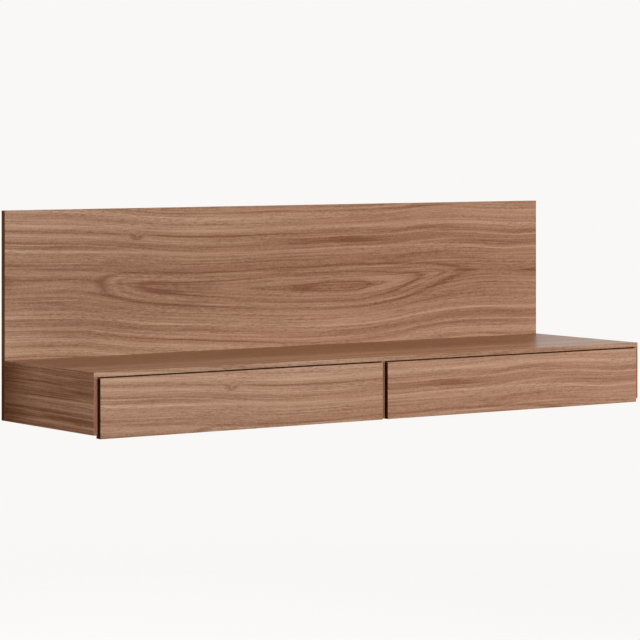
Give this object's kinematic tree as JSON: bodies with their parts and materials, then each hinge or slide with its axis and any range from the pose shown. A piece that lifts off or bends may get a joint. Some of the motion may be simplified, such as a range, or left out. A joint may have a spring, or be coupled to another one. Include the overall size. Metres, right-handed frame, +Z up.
{
  "type": "wall console",
  "caption": "Wall-hung console: a tall flat back panel carries a slim box with a thin top shelf and proud handle-less drawers, hooked open from below, on ball-bearing runners.",
  "frame": {"origin": "on the wall plane, half way along the console, at the height of the row of wall-screw holes", "axes": "+X to the viewer's right along the console, +Y into the wall, +Z up; the drawers open along -Y"},
  "size_m": [1.3, 0.35, 0.4065],
  "materials": {
    "walnut": "matt-lacquered walnut veneer",
    "walnut_underside": "matt-lacquered walnut veneer",
    "drawer_maple": "clear-lacquered maple",
    "birch_ply": "clear-lacquered birch plywood",
    "beech_dowel": "fluted beech",
    "zinc_steel": "bright zinc-plated sheet",
    "bearing_steel": "polished balls",
    "bracket_steel": "black powder coat",
    "screw_steel": "zinc-plated",
    "buffer_rubber": "matt black rubber"
  },
  "bodies": {
    "carcass": {"back_panel": "walnut", "bracket_screws": "screw_steel", "cabinet_rail_screws": "screw_steel", "carcass_screws": "screw_steel", "center_divider": "walnut", "left_bay_buffers": "buffer_rubber", "left_bay_left_cabinet_rail": "zinc_steel", "left_bay_right_cabinet_rail": "zinc_steel", "left_bottom_panel": "walnut_underside", "left_side": "walnut", "right_bay_buffers": "buffer_rubber", "right_bay_left_cabinet_rail": "zinc_steel", "right_bay_right_cabinet_rail": "zinc_steel", "right_bottom_panel": "walnut_underside", "right_side": "walnut", "shelf_dowels": "beech_dowel", "top_shelf": "walnut", "wall_brackets": "bracket_steel"},
    "left_drawer": {"left_drawer_bottom": "birch_ply", "left_drawer_box_back": "drawer_maple", "left_drawer_box_front": "drawer_maple", "left_drawer_front": "walnut", "left_drawer_front_screws": "screw_steel", "left_drawer_left_rail": "zinc_steel", "left_drawer_left_side": "drawer_maple", "left_drawer_rail_screws": "screw_steel", "left_drawer_right_rail": "zinc_steel", "left_drawer_right_side": "drawer_maple"},
    "right_drawer": {"right_drawer_bottom": "birch_ply", "right_drawer_box_back": "drawer_maple", "right_drawer_box_front": "drawer_maple", "right_drawer_front": "walnut", "right_drawer_front_screws": "screw_steel", "right_drawer_left_rail": "zinc_steel", "right_drawer_left_side": "drawer_maple", "right_drawer_rail_screws": "screw_steel", "right_drawer_right_rail": "zinc_steel", "right_drawer_right_side": "drawer_maple"},
    "left_ball_cages": {"left_bay_balls": "bearing_steel", "left_bay_left_ball_cage": "zinc_steel", "left_bay_right_ball_cage": "zinc_steel"},
    "right_ball_cages": {"right_bay_balls": "bearing_steel", "right_bay_left_ball_cage": "zinc_steel", "right_bay_right_ball_cage": "zinc_steel"}
  },
  "joints": [
    {"name": "left_drawer_slide", "type": "slide", "parent": "carcass", "child": "left_drawer", "axis": [0, -1, 0], "range_m": [0, 0.225]},
    {"name": "right_drawer_slide", "type": "slide", "parent": "carcass", "child": "right_drawer", "axis": [0, -1, 0], "range_m": [0, 0.225]},
    {"name": "left_cage_roll", "type": "slide", "parent": "carcass", "child": "left_ball_cages", "axis": [0, -1, 0], "range_m": [0, 0.1125]},
    {"name": "right_cage_roll", "type": "slide", "parent": "carcass", "child": "right_ball_cages", "axis": [0, -1, 0], "range_m": [0, 0.1125]}
  ],
  "couplings": [
    {"joint": "left_cage_roll", "follows": "left_drawer_slide", "ratio": 0.5},
    {"joint": "right_cage_roll", "follows": "right_drawer_slide", "ratio": 0.5}
  ]
}
